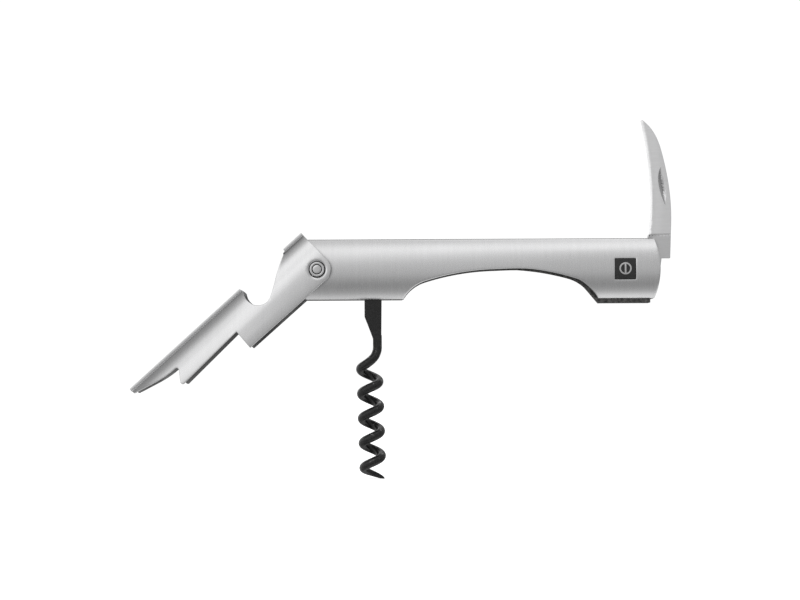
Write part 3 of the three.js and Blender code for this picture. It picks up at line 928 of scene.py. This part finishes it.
def worm_line():
    """Centre line of the wire: straight down, then a right-handed helix on a leaning axis, its point
    towards the outside."""
    guide = [(20.0, 0, -22.0), (20.0, 0, -27.0), (19.2, -1.1, -29.1), (18.0, -2.1, -30.4)]
    per_turn = 56
    for step in range(-round(TURNS_ABOVE * per_turn), round(TURNS_BELOW * per_turn) + 1):
        turn = step / per_turn
        z = FIRST_RIGHT - PITCH * turn
        axis = AXIS_X + AXIS_SLOPE * (AXIS_Z - z)
        angle = 2 * math.pi * turn
        reach = COIL_R + 0.7 * (WIRE_R - wire_radius((TURNS_BELOW - turn) / POINT_TURNS))
        guide.append((axis + reach * math.cos(angle), -reach * math.sin(angle), z))
    guide = np.array(guide)
    lengths = np.concatenate([[0], np.cumsum(np.linalg.norm(np.diff(guide, axis=0), axis=1))])
    knots = np.linspace(0, lengths[-1], 420)
    columns = [np.interp(knots, lengths, guide[:, k]) for k in range(3)]
    line = np.stack(columns, 1)
    for _ in range(12):
        line[1:-1] = (line[:-2] + 2 * line[1:-1] + line[2:]) / 4
    return line


def wire_body(line, radii, count=28):
    """A round tube with closed ends along a line."""
    body = Body()
    tangents = np.gradient(line, axis=0)
    tangents /= np.linalg.norm(tangents, axis=1, keepdims=True)
    side = np.cross(tangents[0], (0, 1, 0))
    angles = 2 * math.pi * np.arange(count) / count
    rings = []
    for centre, tangent, radius in zip(line, tangents, radii):
        side = side - tangent * (side @ tangent)
        side /= np.linalg.norm(side)
        up = np.cross(tangent, side)
        spokes = [math.cos(a) * side + math.sin(a) * up for a in angles]
        rings.append(body.add([centre + radius * spoke for spoke in spokes]))
    for a, b in zip(rings, rings[1:]):
        strip(body, a, b)
    body.faces.append(tuple(reversed(rings[0])))
    body.faces.append(tuple(rings[-1]))
    return body


def worm_body():
    """The wire, with the flat shank that it grows from and the shank's round eye."""
    line = worm_line()
    travelled = np.concatenate([[0], np.cumsum(np.linalg.norm(np.diff(line, axis=0), axis=1))])
    point = POINT_TURNS * math.hypot(2 * math.pi * COIL_R, PITCH)
    wire = wire_body(line, [wire_radius(left) for left in (travelled[-1] - travelled) / point])
    hx, hz = WORM_HINGE.x, WORM_HINGE.z
    outline = bezier((SHANK_LEFT, -15.8), (17.3, -19.8), (18.5, -23.2), count=12)
    outline += [(18.6, -26.2), (SHANK_RIGHT, -26.2)] + arc(hx, hz, 3.7, -38, 218, 40)
    loops = [resampled(rounded(outline, 0.8), 0.5), circle_hole(hx, hz, 1.62, 32)]
    shank = slab(loops, flat(-1.5), flat(1.5), 0.8, np.arange(-25.5, -2, 0.8), edge=0.2)
    wire.add(shank.points, shank.faces)
    return wire


# Remeshing welds the wire to the shank, and thins both a little: the wire is drawn that much thicker.
worm = piece("worm_screw", worm_body(), worm_black, "worm", ["worm"])
remesh = worm.modifiers.new("weld", "REMESH")
remesh.mode = "VOXEL"
remesh.voxel_size = 0.16 * MM
remesh.use_smooth_shade = True
ease = worm.modifiers.new("ease", "SMOOTH")
ease.factor = 0.5
ease.iterations = 4

# ---- foil blade ---------------------------------------------------------------------------------
BLADE_HALF = 0.8
PLUNGE_Z = 11.5
blade_spine = [(119.1, 3.6)]
blade_spine += bezier((119.4, 11.6), (119.85, 18.6), (119.95, 26.8), (116.7, 39.5), count=26)
blade_spine += bezier((116.7, 39.5), (115.6, 43.9), (113.9, 47.9), (110.1, 50.7), count=22)
blade_edge = bezier((109.6, 50.6), (111.8, 40.5), (113.6, 27), (112.2, 14.5), count=40)
blade_edge += [(112.0, PLUNGE_Z)]
NICK_LEFT = bezier((116.2, 34.3), (114.1, 30.0), (117.6, 21.8), count=24)
NICK_RIGHT = bezier((117.6, 21.8), (118.6, 27.0), (116.2, 34.3), count=24)
NICK = NICK_LEFT + NICK_RIGHT[1:-1]
NICK_RIM = inset(resampled(NICK, 0.3), -0.1)


def blade_half(x, z):
    """Half-thickness: a narrow honed bevel along the edge and a slight hollow above it."""
    from_edge = distance_to(np.stack([x, z], 1), [blade_edge])
    bevel = 0.06 + (BLADE_HALF - 0.28) * np.clip(from_edge / 0.55, 0, 1)
    ground = bevel + 0.16 * blend_between(0.55, 4.5, from_edge)
    groove = 0.12 * np.clip(1 - (z - PLUNGE_Z) / 0.35, 0, 1)
    return np.where(z > PLUNGE_Z, ground - groove, BLADE_HALF)


def blade_front(x, z):
    """The badge side, with its nail nick."""
    spots = np.stack([x, z], 1)
    left_wall = np.clip(distance_to(spots, [NICK_LEFT]) / 1.2, 0, 1)
    right_wall = np.clip(distance_to(spots, [NICK_RIGHT]) / 0.8, 0, 1)
    return -blade_half(x, z) + np.where(inside(spots, [NICK]), 0.85 * left_wall * right_wall, 0)


def foil_blade_body():
    """The leaf and its tang, with a row of points on each side of the plunge line."""
    hx, hz = BLADE_HINGE.x, BLADE_HINGE.z
    points = blade_spine + blade_edge + [(111.7, 11.4), (111.5, 9.6), (108.6, 8.0)]
    points += arc(hx, hz, 5.0, 150, 290, 30) + [(115.8, 0.8), (116.2, 3.6)]
    loops = [resampled(rounded(points, 0.2, 35), 0.4), circle_hole(hx, hz, 1.62, 32)]
    rows = list(np.arange(-1.2, PLUNGE_Z - 0.3, 0.4))
    rows += [PLUNGE_Z + step for step in (-0.01, 0.01, 0.12, 0.24, 0.36)]
    rows += list(np.arange(PLUNGE_Z + 0.6, 50, 0.4))
    rings = [inset(resampled(NICK, 0.3), d) for d in (0.02, 0.2, 0.4)]
    nick_spots = np.vstack([NICK_RIM, rings[0], *(ring[inside(ring, [NICK])] for ring in rings[1:])])
    return slab(loops, blade_front, blade_half, 0.5, rows, edge=0.05, extra=nick_spots)


def blade_area(centre, normal):
    """The tang is plain; above the plunge line the blade is ground, apart from the nick, whose left
    wall gets painted shade, a darker steel."""
    spot = np.array([[centre.x, centre.z]])
    if normal.y < 0 and inside(spot, [NICK_RIM])[0]:
        from_left = distance_to(spot, [NICK_LEFT])[0]
        from_right = distance_to(spot, [NICK_RIGHT])[0]
        return 2 if from_left < 1.3 * from_right else 0
    return centre.z > PLUNGE_Z


piece("foil_blade_leaf", foil_blade_body(), blade_steel, "blade", ["foil_blade"],
      sharp=24, others=(ground_steel, nick_shade_steel), where=blade_area)

# ---- materials of the CAD nodes that stay in view -----------------------------------------------
still_shown = {
    spring_steel: [
        "worm_spring", "blade_spring", "spine_rivet_left", "spine_rivet_right",
        "foot_rivet_left", "foot_rivet_right", "worm_pin", "blade_pin",
    ],
    bronze: ["blade_washer_front", "blade_washer_rear", "lever_washer_front", "lever_washer_rear"],
}
for material, names in still_shown.items():
    for name in names:
        mesh = frame["nodes"][name].data
        mesh.materials.clear()
        mesh.materials.append(material)

# ---- stage --------------------------------------------------------------------------------------
def make_floor():
    size = 3.0
    mesh = bpy.data.meshes.new("floor")
    corners = [(-size, -size, 0), (size, -size, 0), (size, size, 0), (-size, size, 0)]
    mesh.from_pydata(corners, [], [(0, 1, 2, 3)])
    material, tree, shader = new_material("pale_floor")
    shader.inputs["Base Color"].default_value = (*grey(0.9), 1)
    shader.inputs["Roughness"].default_value = 0.9
    shader.inputs["Emission Color"].default_value = (1, 1, 1, 1)
    shader.inputs["Emission Strength"].default_value = 0.6
    mesh.materials.append(material)
    floor = bpy.data.objects.new("floor", mesh)
    bpy.context.scene.collection.objects.link(floor)
    floor.visible_glossy = False


# Light that reaches the metal, by the sine of its height: a bright panel high up, a dark band low
# down and a bright floor. Left counts as higher and right as lower.
SKY = (
    (-1.0, 0.97), (-0.93, 0.76), (-0.85, 0.56), (-0.78, 0.45), (-0.61, 0.36), (-0.42, 0.285),
    (-0.26, 0.38), (-0.13, 0.53), (0.0, 0.57), (0.2, 0.65), (0.41, 0.82), (0.55, 1.09),
    (0.7, 1.25), (0.85, 1.18), (0.94, 1.0), (1.0, 0.7),
)
LEAN = 0.5
# Light from the left reads a little higher still.
NEAR_LEAN, NEAR_REACH = 0.098, 0.14
# Towards the right the panel's lower part fades: how far each height is moved down there, as shares
# from -0.5 (table value 0) to 1 (table value 1).
RIGHT_SHIFT = (
    (-1.1, 0.33), (-0.8, 0.27), (-0.5, 0.1), (-0.3, 0.2), (0.0, 0.33), (0.2, 0.85),
    (0.35, 1.0), (0.5, 0.88), (0.6, 0.67), (0.75, 0.33), (1.1, 0.33),
)
RIGHT_AMOUNT, RIGHT_REACH = 0.42, 0.12


def level_ramp(tree, value, table, low, high, brightest):
    """A grey level looked up by value in a table of (value, level)."""
    ramp = add_node(tree, "ShaderNodeValToRGB")
    ramp.color_ramp.interpolation = "LINEAR"
    spots = ramp.color_ramp.elements
    for k, (at, level) in enumerate(table):
        where = (at - low) / (high - low)
        spot = spots[k] if k < 2 else spots.new(where)
        spot.position = where
        spot.color = (*grey(level / brightest), 1)
    tree.links.new(remap(tree, value, 0, 1, low, high), ramp.inputs[0])
    return ramp.outputs[0]


def make_light():
    world = bpy.data.worlds.new("studio")
    bpy.context.scene.world = world
    world.use_nodes = True
    tree = world.node_tree
    tree.nodes.clear()
    out = add_node(tree, "ShaderNodeOutputWorld")
    place = add_node(tree, "ShaderNodeTexCoord")
    split = add_node(tree, "ShaderNodeSeparateXYZ")
    tree.links.new(place.outputs["Generated"], split.inputs[0])
    lean = remap(tree, split.outputs["X"], LEAN, -LEAN, -1, 1)
    from_left = remap(tree, split.outputs["X"], NEAR_LEAN, 0, -NEAR_REACH, 0)
    level = combined(tree, combined(tree, split.outputs["Z"], lean), from_left)
    share = remap(tree, level_ramp(tree, level, RIGHT_SHIFT, -1.2, 1.2, 1), -0.5, 1, 0, 1)
    from_right = remap(tree, split.outputs["X"], 0, -RIGHT_AMOUNT, 0.01, RIGHT_REACH)
    height = combined(tree, level, combined(tree, share, from_right, "MULTIPLY"))
    brightest = 1.3
    soft = add_node(tree, "ShaderNodeBackground")
    soft.inputs["Strength"].default_value = brightest
    tree.links.new(level_ramp(tree, height, SKY, -1.2, 1.2, brightest), soft.inputs["Color"])
    white = add_node(tree, "ShaderNodeBackground")
    white.inputs["Color"].default_value = (1, 1, 1, 1)
    white.inputs["Strength"].default_value = 1.05
    path = add_node(tree, "ShaderNodeLightPath")
    choose = add_node(tree, "ShaderNodeMixShader")
    tree.links.new(path.outputs["Is Camera Ray"], choose.inputs[0])
    tree.links.new(soft.outputs[0], choose.inputs[1])
    tree.links.new(white.outputs[0], choose.inputs[2])
    tree.links.new(choose.outputs[0], out.inputs["Surface"])


def make_camera():
    """A long lens straight at the side, a little below the object's middle."""
    aim = PIVOT + Vector((27.7, 0, -10.1)) * MM
    distance, drop, width, roll = 0.575, 0.025, 0.2702, 0.28
    data = bpy.data.cameras.new("camera")
    data.sensor_width = 36
    data.lens = data.sensor_width * distance / width
    camera = bpy.data.objects.new("camera", data)
    bpy.context.scene.collection.objects.link(camera)
    camera.location = aim + Vector((0, -distance, -drop))
    straight = (aim - camera.location).to_track_quat("-Z", "Y")
    camera.rotation_euler = (straight @ Quaternion((0, 0, 1), -math.radians(roll))).to_euler()
    data.clip_start, data.clip_end = 0.01, 20
    bpy.context.scene.camera = camera


make_floor()
make_light()
make_camera()
bpy.context.scene.view_settings.view_transform = "Standard"
